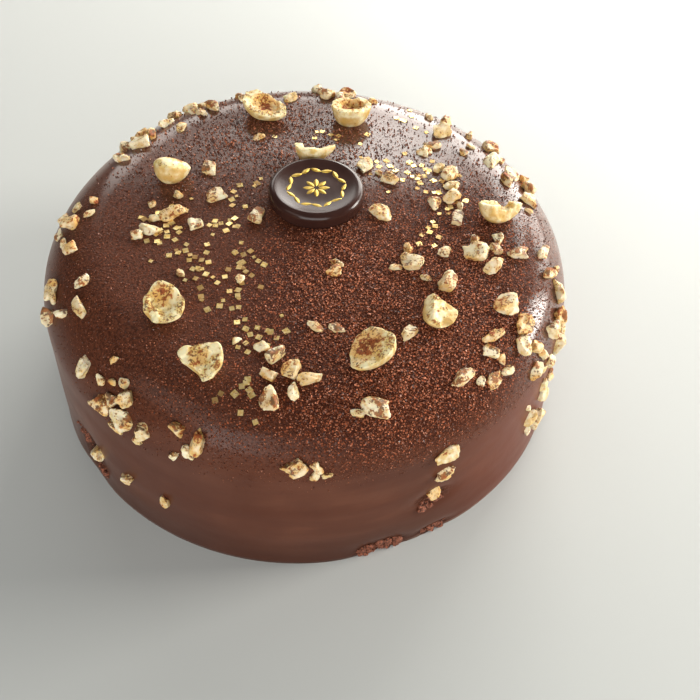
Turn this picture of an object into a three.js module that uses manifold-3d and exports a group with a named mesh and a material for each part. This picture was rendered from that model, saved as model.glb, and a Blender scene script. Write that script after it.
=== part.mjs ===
// A round chocolate cake under a smooth glaze, dressed with hazelnut halves, chopped hazelnut,
// gold flakes and a small chocolate disc. Millimetres, +Z up, middle of the underside at the origin.
// The front is towards -Y. A place on the glaze is a bearing, in degrees from +X towards +Y, and a
// reach, the way along the glaze from the middle of the top, over the shoulder and down the wall.

import * as THREE from "three";
import { mergeVertices } from "three/addons/utils/BufferGeometryUtils.js";
import Module from "manifold-3d";

const wasm = await Module();
wasm.setup();

// Cake
const WALL_RADIUS = 90;
const FOOT_RADIUS = 92.4;
const WALL_HEIGHT = 45;
const SHOULDER_WIDTH = 23.5;
const SHOULDER_HEIGHT = 22;
const CROWN = 1.8;
const CAKE_SEGMENTS = 80;
const TOP_RINGS = 4;
const SHOULDER_RINGS = 6;
const WALL_RINGS = 6;

// Slow waves of the hand-spread glaze, by the bearing: height, waves in a full turn, start in radians
const WAVES = [
  { height: 0.45, turns: 2, start: 0.6 },
  { height: 0.32, turns: 3, start: 2.1 },
  { height: 0.22, turns: 5, start: 4 },
];

// Places on the wall where the glaze broke away from the sponge
const BROKEN_PLACES = [
  { bearing: 216, height: 11, halfWidth: 9, halfHeight: 12, depth: 1.8 },
  { bearing: 285, height: 2, halfWidth: 10, halfHeight: 5, depth: 1.6 },
  { bearing: 296, height: 21.5, halfWidth: 7, halfHeight: 4, depth: 1.6 },
  { bearing: 297, height: 2, halfWidth: 7, halfHeight: 3, depth: 1.2 },
];

// Chocolate disc with rounded edges and a dished face
const DISC_RADIUS = 16.3;
const DISC_HEIGHT = 5;
const DISC_FOOT = 1.2;
const DISC_EDGE = 2.2;
const DISC_DISH = 1.1;
const DISC_FLATNESS = 4;
const DISC_RIGHT = 3.4;
const DISC_BACK = 9.4;
const DISC_SEGMENTS = 40;
const ROUND_STEPS = 3;

// Clear gaps under the pieces that rest on the glaze
const NUT_GAP = 0.3;
const DISC_GAP = 0.5;

// Hazelnut halves, each at its place right of and behind the middle of the top, sunk into the glaze. The
// cut face tips by lean towards the bearing leanTo, and the kernel's narrow end, slimmer by its taper,
// lies at the bearing point. The broken face bulges by its crown, or is cut flat and hollow by a share of
// the depth. A chip slices the kernel off beyond out, a share of its half length, on the side that many
// degrees from the narrow end, tipped up by slant. A bite is a round notch of that size, with its middle
// told the same way.
const NUTS = [
  {
    name: "back_left", right: -14.6, back: 58.4, length: 17.8, width: 13.4, depth: 6.4, sink: 0.9,
    taper: 0.2, point: 325, lean: 10, leanTo: 310, crown: 0, hollow: 0.3,
    chips: [{ side: 90, out: 0.5, slant: 0 }], bites: [],
  },
  {
    name: "back_right", right: 17.2, back: 55.6, length: 14.6, width: 12.4, depth: 9.2, sink: 2.4,
    taper: 0.05, point: 5, lean: 6, leanTo: 85, crown: 0, hollow: 0.28,
    chips: [], bites: [
      { side: 75, out: 0.9, size: 3.6 }, { side: 262, out: 1, size: 3.2 },
      { side: 312, out: 1.04, size: 3 },
    ],
  },
  {
    name: "behind_disc", right: 3.4, back: 32, length: 14.4, width: 12, depth: 6.6, sink: 0.7,
    taper: 0.3, point: 352, lean: 16, leanTo: 92, crown: 0, hollow: 0.75,
    chips: [{ side: 90, out: 0.08, slant: 0 }], bites: [],
  },
  {
    name: "left_back", right: -46.1, back: 23, length: 12.4, width: 11, depth: 6.4, sink: 1.2,
    taper: 0.15, point: 8, lean: 33, leanTo: 72, crown: 2.6, hollow: 0,
    chips: [{ side: 75, out: 0.35, slant: 40 }], bites: [],
  },
  {
    name: "left_front", right: -43.6, back: -40.8, length: 13.9, width: 12.4, depth: 5, sink: 0.9,
    taper: 0.2, point: 100, lean: 20, leanTo: 275, crown: 0, hollow: 0.2,
    chips: [{ side: 50, out: 0.82, slant: 0 }], bites: [{ side: 128, out: 1.25, size: 6 }],
  },
  {
    name: "front_left", right: -31, back: -62, length: 13.6, width: 11.4, depth: 5, sink: 0.9,
    taper: 0.42, point: 162, lean: 18, leanTo: 265, crown: 0, hollow: 0.15,
    chips: [{ side: 293, out: 0.6, slant: 0 }], bites: [{ side: 70, out: 1.35, size: 12 }],
  },
  {
    name: "front_right", right: 17.8, back: -60.2, length: 15.6, width: 13, depth: 6.4, sink: 0.9,
    taper: 0.3, point: 228, lean: 22, leanTo: 180, crown: 0, hollow: 0.12,
    chips: [], bites: [],
  },
  {
    name: "right_front", right: 40, back: -44.4, length: 12.4, width: 12.6, depth: 5, sink: 1,
    taper: 0.1, point: 262, lean: 6, leanTo: 270, crown: 2, hollow: 0,
    chips: [
      { side: 270, out: 0.78, slant: 0 }, { side: 270, out: 0.365, slant: 45 },
      { side: 90, out: 0.056, slant: 68 }, { side: 153, out: 0.6, slant: 10 },
    ],
    bites: [{ side: 31, out: 0.92, size: 5 }],
  },
  {
    name: "right_back", right: 65.5, back: 1.6, length: 15, width: 12, depth: 6.6, sink: 1,
    taper: 0.2, point: 10, lean: 30, leanTo: 85, crown: 0, hollow: 0.4,
    chips: [{ side: 290, out: 0.38, slant: 5 }], bites: [{ side: 60, out: 0.55, size: 4.4 }],
  },
];
const HOLLOW_SPAN = 0.64;
const KERNEL_SEGMENTS = 12;
const KERNEL_RINGS = 8;

// Chopped hazelnut, each piece with six slanted cuts, which leave that fill of its full size. Its height is
// a share of its width, and its middle stands above the glaze by a share of its size.
const NIB_HEIGHT = 0.85;
const NIB_FILL = 0.64;
const NIB_RISE = 0.12;
const NIB_TILT = 25;
const NIB_EDGE = 9;
const NIB_CUT = 0.55;
const NIB_LIMIT = 1.2;
const NIB_SLANT = 1.1;
const NIB_SHORT = 3.2;
const NIB_LONG = 8.2;
const NIB_SKEW = 1.1;
const NIB_SLIM = 0.55;
const NIB_STOUT = 0.86;
const NIB_SEED = 20411;

// Where the chopped nut fell, in bunches: bearing and reach of the middle of a bunch, its half spread along
// the ring and across it, and how many pieces lie there. The last three are on the hidden side.
const NIB_BUNCHES = [
  [20, 79, 24, 8, 9], [43, 72, 18, 9, 6], [33, 57, 22, 7, 5], [40, 35, 8, 6, 3], [8, 52, 10, 9, 4],
  [79, 73, 24, 6, 6], [67, 50, 2, 2, 1], [112, 49, 3, 3, 1], [118, 75, 18, 10, 8], [141, 76, 20, 9, 9],
  [160, 50, 18, 9, 5], [178, 77, 14, 9, 8], [187, 55, 5, 4, 2], [187, 36, 2, 2, 1], [175, 15, 3, 3, 1],
  [4, 24, 2, 2, 1], [160, 33, 2, 2, 1], [203, 85, 12, 11, 5], [212, 45, 3, 3, 1], [234, 36, 2, 2, 1],
  [228, 91, 18, 12, 12], [229, 127, 22, 12, 3], [246, 95, 8, 11, 4], [245, 61, 6, 5, 1],
  [263, 68, 11, 11, 8], [271, 95, 9, 5, 4], [281, 78, 9, 2, 2], [282, 49, 9, 3, 2], [296, 116, 12, 18, 3],
  [298, 23, 8, 7, 2], [302, 60, 3, 3, 1], [316, 82, 17, 8, 10], [331, 95, 19, 8, 9], [328, 122, 14, 18, 7],
  [328, 46, 12, 14, 6], [329, 73, 2, 2, 1], [346, 63, 13, 10, 6], [347, 82, 6, 8, 4],
  [75, 116, 60, 18, 4], [140, 118, 50, 18, 4], [10, 118, 40, 16, 3],
];

// Gold flakes, thin squares bedded in the glaze, in bunches told the same way
const FLAKE_PROUD = 0.25;
const FLAKE_THICK = 1;
const FLAKE_SMALL = 1.5;
const FLAKE_LARGE = 2;
const FLAKE_CLEAR = 0.4;
const FLAKE_SEED = 7919;
const FLAKE_BUNCHES = [
  [180, 48, 12, 9, 9], [193, 47, 10, 6, 4], [150, 30, 9, 7, 5], [190, 26, 8, 6, 5], [214, 39, 12, 9, 9],
  [229, 30, 10, 8, 6], [235, 45, 10, 7, 6], [252, 52, 12, 8, 6], [256, 74, 13, 9, 5], [43, 36, 10, 7, 5],
  [32, 46, 14, 9, 8], [16, 50, 14, 8, 6], [85, 46, 16, 6, 4], [54, 66, 10, 8, 4], [348, 44, 10, 8, 4],
];

// Pieces are tried at this many places, and kept that far from the disc and the nut halves
const PLACE_TRIES = 40;
const KEEP_OFF = 2;

// Vertices this close are one, and edges this short, left where pieces are joined, are closed up
const MERGE_TOLERANCE = 1e-4;
const JOIN_TOLERANCE = 0.03;

// Step and range of the repeatable draws
const DRAW_STEP = 48271;
const DRAW_RANGE = 2147483647;

// Colours of the finished pieces
const CAKE_LOOK = { color: 0x53301f, roughness: 0.4, metalness: 0 };
const DISC_LOOK = { color: 0x2c1a12, roughness: 0.3, metalness: 0 };
const NUT_LOOK = { color: 0xe2c48c, roughness: 0.6, metalness: 0 };

const DEGREE = Math.PI / 180;
const UP = new THREE.Vector3(0, 0, 1);
const FULL_SIZE = new THREE.Vector3(1, 1, 1);
const FLAT_RADIUS = WALL_RADIUS - SHOULDER_WIDTH;
const TOP_HEIGHT = WALL_HEIGHT + SHOULDER_HEIGHT;
const SHOULDER_ARC = (Math.PI / 4) * (SHOULDER_WIDTH + SHOULDER_HEIGHT);
const WALL_START = FLAT_RADIUS + SHOULDER_ARC;
const FOOT_REACH = WALL_START + WALL_HEIGHT;

// Repeatable draws between 0 and 1.
function draws(seed) {
  let state = seed;
  return () => {
    state = (state * DRAW_STEP) % DRAW_RANGE;
    return state / DRAW_RANGE;
  };
}

// Level direction at a bearing.
function towards(bearing) {
  return new THREE.Vector3(Math.cos(bearing * DEGREE), Math.sin(bearing * DEGREE), 0);
}

function turnAbout(axis, degrees) {
  return new THREE.Quaternion().setFromAxisAngle(axis, degrees * DEGREE);
}

// Radius, height and outward slope of the even outline at a reach.
function outlineAt(reach) {
  if (reach <= FLAT_RADIUS) {
    const turn = (Math.PI * reach) / FLAT_RADIUS;
    const fall = (CROWN * Math.PI * Math.sin(turn)) / (2 * FLAT_RADIUS);
    const height = TOP_HEIGHT + (CROWN * (1 + Math.cos(turn))) / 2;
    return { radius: reach, height, slope: Math.atan(fall) };
  }
  if (reach <= WALL_START) {
    const turn = ((reach - FLAT_RADIUS) / SHOULDER_ARC) * (Math.PI / 2);
    const radius = FLAT_RADIUS + SHOULDER_WIDTH * Math.sin(turn);
    const height = WALL_HEIGHT + SHOULDER_HEIGHT * Math.cos(turn);
    return { radius, height, slope: turn };
  }
  const down = Math.min((reach - WALL_START) / WALL_HEIGHT, 1);
  const radius = WALL_RADIUS + (FOOT_RADIUS - WALL_RADIUS) * down;
  return { radius, height: WALL_HEIGHT * (1 - down), slope: Math.PI / 2 };
}

// How far the glaze stands out from the even outline: slow waves, and hollows where it broke away.
function unevenness(bearing, reach, outline) {
  let out = 0;
  for (const { height, turns, start } of WAVES) {
    out += height * Math.sin(turns * bearing * DEGREE + start);
  }
  out *= Math.min(reach / WALL_START, 1) ** 2;
  if (reach > WALL_START) {
    for (const place of BROKEN_PLACES) {
      const apart = ((bearing - place.bearing + 540) % 360) - 180;
      const across = (apart * DEGREE * outline.radius) / place.halfWidth;
      const up = (outline.height - place.height) / place.halfHeight;
      out -= place.depth * Math.exp(-(across ** 2) - up ** 2);
    }
  }
  return out;
}

// Point on the glaze and the direction straight out of it.
function glazeAt(bearing, reach) {
  const outline = outlineAt(reach);
  const away = towards(bearing);
  const normal = new THREE.Vector3();
  normal.addScaledVector(away, Math.sin(outline.slope)).addScaledVector(UP, Math.cos(outline.slope));
  const point = away.multiplyScalar(outline.radius).addScaledVector(UP, outline.height);
  point.addScaledVector(normal, unevenness(bearing, reach, outline));
  return { point, normal };
}

// Place on the top, that far right of and behind its middle.
function topAt({ right, back }) {
  return glazeAt((Math.atan2(back, right) / DEGREE + 360) % 360, Math.hypot(right, back));
}

// Frame of a piece on the glaze, turned by spin and tipped by tilt, in degrees.
function seatOn({ point, normal }, spin, tilt, rise, scale) {
  const stand = new THREE.Quaternion().setFromUnitVectors(UP, normal);
  stand.multiply(turnAbout(UP, spin)).multiply(turnAbout(new THREE.Vector3(1, 0, 0), tilt));
  return new THREE.Matrix4().compose(point.clone().addScaledVector(normal, rise), stand, scale);
}

// Closed shape as a solid that can be joined and cut.
function solidFrom(geometry) {
  const bare = geometry.clone();
  bare.deleteAttribute("normal");
  bare.deleteAttribute("uv");
  const merged = mergeVertices(bare, MERGE_TOLERANCE);
  const triangles = [];
  for (let i = 0; i < merged.index.count; i += 3) {
    const [a, b, c] = [0, 1, 2].map((corner) => merged.index.getX(i + corner));
    if (a !== b && b !== c && c !== a) {
      triangles.push(a, b, c);
    }
  }
  const vertProperties = new Float32Array(merged.attributes.position.array);
  const triVerts = new Uint32Array(triangles);
  return new wasm.Manifold(new wasm.Mesh({ numProp: 3, vertProperties, triVerts }));
}

function geometryFrom(solid) {
  const result = solid.getMesh();
  const geometry = new THREE.BufferGeometry();
  geometry.setAttribute("position", new THREE.BufferAttribute(result.vertProperties, 3));
  geometry.setIndex(new THREE.BufferAttribute(result.triVerts, 1));
  geometry.computeVertexNormals();
  return geometry;
}

function namedMesh(name, solid, look) {
  const mesh = new THREE.Mesh(geometryFrom(solid), new THREE.MeshStandardMaterial(look));
  mesh.name = name;
  return mesh;
}

// Glazed cake, turned from its outline and then made as uneven as a hand-spread one.
function glazedCake() {
  const reaches = [];
  for (let i = 0; i < WALL_RINGS; i += 1) {
    reaches.push(FOOT_REACH - (WALL_HEIGHT * i) / WALL_RINGS);
  }
  for (let i = 0; i < SHOULDER_RINGS; i += 1) {
    reaches.push(WALL_START - (SHOULDER_ARC * i) / SHOULDER_RINGS);
  }
  for (let i = 0; i <= TOP_RINGS; i += 1) {
    reaches.push(FLAT_RADIUS * (1 - i / TOP_RINGS));
  }
  const profile = [new THREE.Vector2(0, 0)];
  for (const reach of reaches) {
    const outline = outlineAt(reach);
    profile.push(new THREE.Vector2(outline.radius, outline.height));
  }
  const geometry = new THREE.LatheGeometry(profile, CAKE_SEGMENTS);
  geometry.rotateX(Math.PI / 2);
  const position = geometry.attributes.position;
  for (let i = 0; i < position.count; i += 1) {
    const ring = i % profile.length;
    if (ring > 0 && ring < profile.length - 1) {
      const step = Math.floor(i / profile.length) % CAKE_SEGMENTS;
      const { point } = glazeAt((270 + (step * 360) / CAKE_SEGMENTS) % 360, reaches[ring - 1]);
      position.setXYZ(i, point.x, point.y, point.z);
    }
  }
  return solidFrom(geometry);
}

// Chocolate disc, turned from a profile with rounded edges and a dished face.
function chocolateDisc() {
  const turns = Array.from({ length: ROUND_STEPS + 1 }, (_, i) => ((i / ROUND_STEPS) * Math.PI) / 2);
  const profile = [new THREE.Vector2(0, 0)];
  for (const turn of turns) {
    const radius = DISC_RADIUS - DISC_FOOT * (1 - Math.sin(turn));
    profile.push(new THREE.Vector2(radius, DISC_FOOT * (1 - Math.cos(turn))));
  }
  for (const turn of turns) {
    const radius = DISC_RADIUS - DISC_EDGE * (1 - Math.cos(turn));
    profile.push(new THREE.Vector2(radius, DISC_HEIGHT - DISC_EDGE * (1 - Math.sin(turn))));
  }
  for (let i = 1; i <= ROUND_STEPS; i += 1) {
    const out = 1 - i / ROUND_STEPS;
    const radius = (DISC_RADIUS - DISC_EDGE) * out;
    profile.push(new THREE.Vector2(radius, DISC_HEIGHT - DISC_DISH * (1 - out ** DISC_FLATNESS)));
  }
  const geometry = new THREE.LatheGeometry(profile, DISC_SEGMENTS);
  geometry.rotateX(Math.PI / 2);
  const seat = topAt({ right: DISC_RIGHT, back: DISC_BACK });
  geometry.applyMatrix4(seatOn(seat, 0, 0, DISC_GAP, FULL_SIZE));
  return solidFrom(geometry);
}

// Block that fills everything beyond a plane, at that distance from the origin.
function halfSpace(normal, distance) {
  const span = 6 * FOOT_RADIUS;
  const block = new THREE.BoxGeometry(span, span, span);
  block.translate(0, 0, span / 2 + distance);
  block.applyQuaternion(new THREE.Quaternion().setFromUnitVectors(UP, normal));
  return solidFrom(block);
}

// Half kernel with its face up and its narrow end along +X, the face bulging or hollow, chips and bites
// gone.
function kernelHalf({ length, width, depth, taper, crown, hollow, chips, bites }) {
  const whole = new THREE.SphereGeometry(1, KERNEL_SEGMENTS, KERNEL_RINGS);
  whole.rotateZ(-Math.PI / 2);
  const position = whole.attributes.position;
  for (let i = 0; i < position.count; i += 1) {
    const slim = 1 - taper * position.getX(i);
    const tall = position.getZ(i) > 0 && crown > 0 ? crown : depth;
    position.setY(i, position.getY(i) * slim);
    position.setZ(i, position.getZ(i) * slim * tall);
  }
  whole.scale(length / 2, width / 2, 1);
  let half = solidFrom(whole);
  if (crown === 0) {
    half = half.subtract(halfSpace(UP, 0));
  }
  if (hollow > 0) {
    const scoop = new THREE.SphereGeometry(HOLLOW_SPAN, KERNEL_SEGMENTS, KERNEL_RINGS);
    scoop.scale(length / 2, width / 2, (hollow * depth) / HOLLOW_SPAN);
    half = half.subtract(solidFrom(scoop));
  }
  for (const { side, out, slant } of chips) {
    const normal = towards(side).applyQuaternion(turnAbout(towards(side - 90), slant));
    half = half.subtract(halfSpace(normal, (out * length) / 2));
  }
  for (const { side, out, size } of bites) {
    const bite = new THREE.SphereGeometry(size / 2, KERNEL_SEGMENTS, KERNEL_RINGS);
    const middle = towards(side).multiplyScalar((out * length) / 2);
    bite.translate(middle.x, middle.y, 0);
    half = half.subtract(solidFrom(bite));
  }
  return half;
}

// Kernel half tipped and turned as it fell, resting just clear of the glaze.
function restingNut(nut) {
  const seat = topAt(nut);
  const turn = new THREE.Quaternion().setFromUnitVectors(UP, seat.normal);
  turn.multiply(turnAbout(towards(nut.leanTo + 90), nut.lean)).multiply(turnAbout(UP, nut.point));
  const shape = geometryFrom(kernelHalf(nut));
  shape.applyQuaternion(turn);
  const position = shape.attributes.position;
  let lowest = Infinity;
  for (let i = 0; i < position.count; i += 1) {
    lowest = Math.min(lowest, new THREE.Vector3().fromBufferAttribute(position, i).dot(seat.normal));
  }
  const place = seat.point.clone().addScaledVector(seat.normal, -lowest - nut.sink);
  shape.translate(place.x, place.y, place.z);
  const below = seat.normal.clone().negate();
  const clear = solidFrom(shape).subtract(halfSpace(below, below.dot(seat.point) - NUT_GAP));
  return clear.simplify(JOIN_TOLERANCE);
}

// How far a chopped piece reaches along a direction: flat cuts that meet in softened edges.
function chipReach(cuts, direction) {
  let sum = NIB_LIMIT ** -NIB_EDGE;
  for (const { normal, depth } of cuts) {
    sum += Math.max(0, normal.dot(direction) / depth) ** NIB_EDGE;
  }
  return sum ** (-1 / NIB_EDGE);
}

// Pieces drawn bunch by bunch, each in a place clear of the others and of what it keeps off.
function scatter(bunches, seed, clear, shapeOf, keepOff) {
  const draw = draws(seed);
  const found = [];
  for (const [middle, ring, along, across, count] of bunches) {
    for (let n = 0; n < count; n += 1) {
      const shape = shapeOf(draw);
      for (let tries = 0; tries < PLACE_TRIES; tries += 1) {
        const reach = Math.min(ring + across * (draw() + draw() - 1), FOOT_REACH - shape.size);
        const aside = along * (draw() + draw() - 1);
        const bearing = (middle + aside / (outlineAt(reach).radius * DEGREE) + 360) % 360;
        const seat = glazeAt(bearing, reach);
        const crowded = [...keepOff, ...found].some(
          (other) => other.seat.point.distanceTo(seat.point) < (other.size + shape.size) / 2 + clear,
        );
        if (!crowded) {
          found.push({ ...shape, seat });
          break;
        }
      }
    }
  }
  return found;
}

// Length, width and spin of a chopped piece, and its mean size.
function nibShape(draw) {
  const long = NIB_SHORT + (NIB_LONG - NIB_SHORT) * draw() ** NIB_SKEW;
  const wide = long * (NIB_SLIM + (NIB_STOUT - NIB_SLIM) * draw());
  return { long, wide, spin: 180 * draw(), size: (long + wide) / 2 };
}

function flakeShape(draw) {
  return { size: FLAKE_SMALL + (FLAKE_LARGE - FLAKE_SMALL) * draw(), spin: 90 * draw() };
}

// Room that the disc and the nut halves take up.
function largePieces() {
  const nuts = NUTS.map((nut) => ({
    seat: topAt(nut),
    size: Math.max(nut.length, nut.width * (1 + nut.taper)) + 2 * KEEP_OFF,
  }));
  return [{ seat: topAt({ right: DISC_RIGHT, back: DISC_BACK }), size: 2 * (DISC_RADIUS + KEEP_OFF) }, ...nuts];
}

// Chopped piece of nut, shaped by its own cuts and tipped as it fell.
function choppedNib({ seat, long, wide, spin }, seed) {
  const draw = draws(seed);
  const cuts = [];
  for (const sign of [1, -1]) {
    for (const axis of [0, 1, 2]) {
      const normal = new THREE.Vector3().setComponent(axis, sign);
      const slant = new THREE.Vector3(draw() - 0.5, draw() - 0.5, draw() - 0.5);
      normal.addScaledVector(slant, NIB_SLANT).normalize();
      cuts.push({ normal, depth: NIB_CUT + (1 - NIB_CUT) * draw() });
    }
  }
  const geometry = new THREE.BoxGeometry(1, 1, 1);
  const position = geometry.attributes.position;
  for (let i = 0; i < position.count; i += 1) {
    const corner = new THREE.Vector3().fromBufferAttribute(position, i).normalize();
    corner.multiplyScalar(chipReach(cuts, corner));
    position.setXYZ(i, corner.x, corner.y, corner.z);
  }
  const tilt = NIB_TILT * (2 * draw() - 1);
  const scale = new THREE.Vector3(long, wide, NIB_HEIGHT * wide).multiplyScalar(0.5 / NIB_FILL);
  const rise = (NIB_RISE * (long + wide)) / 2;
  geometry.applyMatrix4(seatOn(seat, spin, tilt, rise, scale));
  return solidFrom(geometry);
}

// Thin square of gold, bedded flat in the glaze.
function goldFlake({ seat, size, spin }) {
  const geometry = new THREE.BoxGeometry(size, size, FLAKE_THICK);
  const rise = FLAKE_PROUD - FLAKE_THICK / 2;
  geometry.applyMatrix4(seatOn(seat, spin, 0, rise, FULL_SIZE));
  return solidFrom(geometry);
}

// Cake with everything small that is stuck to it.
function dressedCake() {
  const large = largePieces();
  const nibs = scatter(NIB_BUNCHES, NIB_SEED, 0, nibShape, large);
  const flakes = scatter(FLAKE_BUNCHES, FLAKE_SEED, FLAKE_CLEAR, flakeShape, [...large, ...nibs]);
  const joined = wasm.Manifold.union([
    glazedCake(),
    ...nibs.map((nib, i) => choppedNib(nib, NIB_SEED + 1 + i)),
    ...flakes.map((flake) => goldFlake(flake)),
  ]);
  return joined.simplify(JOIN_TOLERANCE);
}

const cake = new THREE.Group();
cake.add(namedMesh("cake", dressedCake(), CAKE_LOOK));
cake.add(namedMesh("chocolate_disc", chocolateDisc(), DISC_LOOK));
for (const nut of NUTS) {
  cake.add(namedMesh(`hazelnut_${nut.name}`, restingNut(nut), NUT_LOOK));
}

export default cake;
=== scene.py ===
# Looks of a round chocolate cake: glaze, cocoa, chopped hazelnut, hazelnut halves, gold flakes and disc.
# Metres, +Z up, middle of the underside at the origin, the front towards -Y. A place on the glaze is a
# bearing, in degrees from +X towards +Y, and a reach, the way along the glaze from the middle of the top,
# over the shoulder and down the wall.

import itertools
import math

import bmesh
import bpy
import numpy as np
from mathutils import Matrix, Quaternion, Vector


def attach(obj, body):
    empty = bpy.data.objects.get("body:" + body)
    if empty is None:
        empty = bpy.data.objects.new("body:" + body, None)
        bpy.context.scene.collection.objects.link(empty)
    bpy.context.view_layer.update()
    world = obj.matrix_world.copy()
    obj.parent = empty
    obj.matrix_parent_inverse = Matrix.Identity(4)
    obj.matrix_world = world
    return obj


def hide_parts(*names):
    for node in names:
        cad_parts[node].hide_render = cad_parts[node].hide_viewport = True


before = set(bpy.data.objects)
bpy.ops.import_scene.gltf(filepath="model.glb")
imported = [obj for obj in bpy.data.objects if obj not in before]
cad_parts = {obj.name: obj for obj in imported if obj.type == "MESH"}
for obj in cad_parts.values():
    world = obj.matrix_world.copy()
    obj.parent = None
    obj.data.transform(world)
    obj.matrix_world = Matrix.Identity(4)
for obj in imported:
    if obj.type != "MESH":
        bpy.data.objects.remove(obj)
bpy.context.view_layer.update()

MM = 0.001
UP = Vector((0, 0, 1))

# Cake
WALL_RADIUS = 90 * MM
FOOT_RADIUS = 92.4 * MM
WALL_HEIGHT = 45 * MM
SHOULDER_WIDTH = 23.5 * MM
SHOULDER_HEIGHT = 22 * MM
CROWN = 1.8 * MM
GLAZE_BEARINGS = 420
GLAZE_STEP = 1.25 * MM
FLAT_RADIUS = WALL_RADIUS - SHOULDER_WIDTH
TOP_HEIGHT = WALL_HEIGHT + SHOULDER_HEIGHT
SHOULDER_ARC = math.pi / 4 * (SHOULDER_WIDTH + SHOULDER_HEIGHT)
WALL_START = FLAT_RADIUS + SHOULDER_ARC
FOOT_REACH = WALL_START + WALL_HEIGHT

# Slow waves of the hand-spread glaze, by the bearing: height, waves in a full turn, start in radians
WAVES = [(0.45 * MM, 2, 0.6), (0.32 * MM, 3, 2.1), (0.22 * MM, 5, 4)]

# Places on the wall where the glaze broke away from the sponge, in degrees and millimetres:
# bearing, height, half width, half height, depth
BROKEN_PLACES = [(216, 11, 9, 12, 1.8), (285, 2, 10, 5, 1.6), (296, 21.5, 7, 4, 1.6), (297, 2, 7, 3, 1.2)]

# Fine relief of the glaze: height and size of its ripples, of the spatula's level strokes on the wall, and of
# the rough places where it broke away. Finer ripples on them have a share of the height.
FINE_SHARE = 0.5
RIPPLE_HEIGHT = 0.1 * MM
RIPPLE_SIZE = 24 * MM
RIPPLE_FINE_SIZE = RIPPLE_SIZE / 2.7
STROKE_HEIGHT = 0.13 * MM
STROKE_LENGTH = 70 * MM
STROKE_WIDTH = 5.5 * MM
STROKE_STRETCH = 5
BREAK_ROUGHNESS = 0.55 * MM
BREAK_SIZE = 2.6 * MM
BREAK_FINE_SIZE = BREAK_SIZE / 1.7
BREAK_FINE_SHARE = 0.6
BARE_GAIN = 2
BARE_START = 0.7

# Gloss of the wall, of the right and the back of the shoulder and of a patch at the front, as shares of the
# gloss of the bare top. A pair says where a change along X, Y or the reach begins and where it is full.
WALL_GLOSS = 0.16
WALL_DULLS = (20 * MM, 60 * MM)
SHOULDER_FALL = 2.5
RIGHT_GLOSS = 0.8
RIGHT_SHINES = (50 * MM, 74 * MM)
RIGHT_REACH = (WALL_START, WALL_START - 10 * MM)
FRONT_GLOSS = 0.42
FRONT_RIGHT = -36 * MM
FRONT_BACK = -72 * MM
FRONT_SPREAD = 24 * MM
BACK_GLOSS = 0.9
BACK_SHINES = (24 * MM, 56 * MM)
BACK_REACH = (WALL_START, FLAT_RADIUS + 14 * MM)

# Film of fine cocoa, which takes that much of the gloss away. It fades towards the back and at the end of its
# reach, which swings out to the right.
FILM_DULLS = 0.85
FILM_FADES = (34 * MM, 4 * MM)
FILM_REACH = 102 * MM
FILM_SWING = 10 * MM
FILM_EDGE = 16 * MM

# Foot of the wall, with painted shade that darkens it up to that height, and the right of the wall, painted
# warmer in colour as painted light
FOOT_PAINTED_SHADE = (26 * MM, 0)
PAINTED_WARM_SIDE = (34 * MM, 74 * MM)
PAINTED_WARM_REACH = (WALL_START - 12 * MM, WALL_START + 6 * MM)

# Chocolate disc with rounded edges and a dished face
DISC_RADIUS = 16.3 * MM
DISC_HEIGHT = 5 * MM
DISC_FOOT = 1.2 * MM
DISC_EDGE = 2.2 * MM
DISC_DISH = 1.1 * MM
DISC_FLATNESS = 4
DISC_RIGHT = 3.4 * MM
DISC_BACK = 9.4 * MM
DISC_GAP = 0.5 * MM
DISC_SINK = 0.9 * MM
DISC_SEGMENTS = 128
DISC_STEPS = 12
DISC_RIPPLE_HEIGHT = 0.05 * MM
DISC_RIPPLE_SIZE = 7 * MM

# Gold wreath on the disc: a ring of leaves that lean in and out by turns, round a rosette
WREATH_RADIUS = 9.3 * MM
WREATH_LEAVES = 16
LEAF_LENGTH = 4.2 * MM
LEAF_WIDTH = 1.7 * MM
LEAF_LEAN = 24
ROSETTE_PETALS = 8
PETAL_LENGTH = 4 * MM
PETAL_WIDTH = 1.9 * MM
PETAL_OUT = 0.68 * PETAL_LENGTH
LEAF_POINTS = 13
GOLD_RISE = 0.16 * MM

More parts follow.
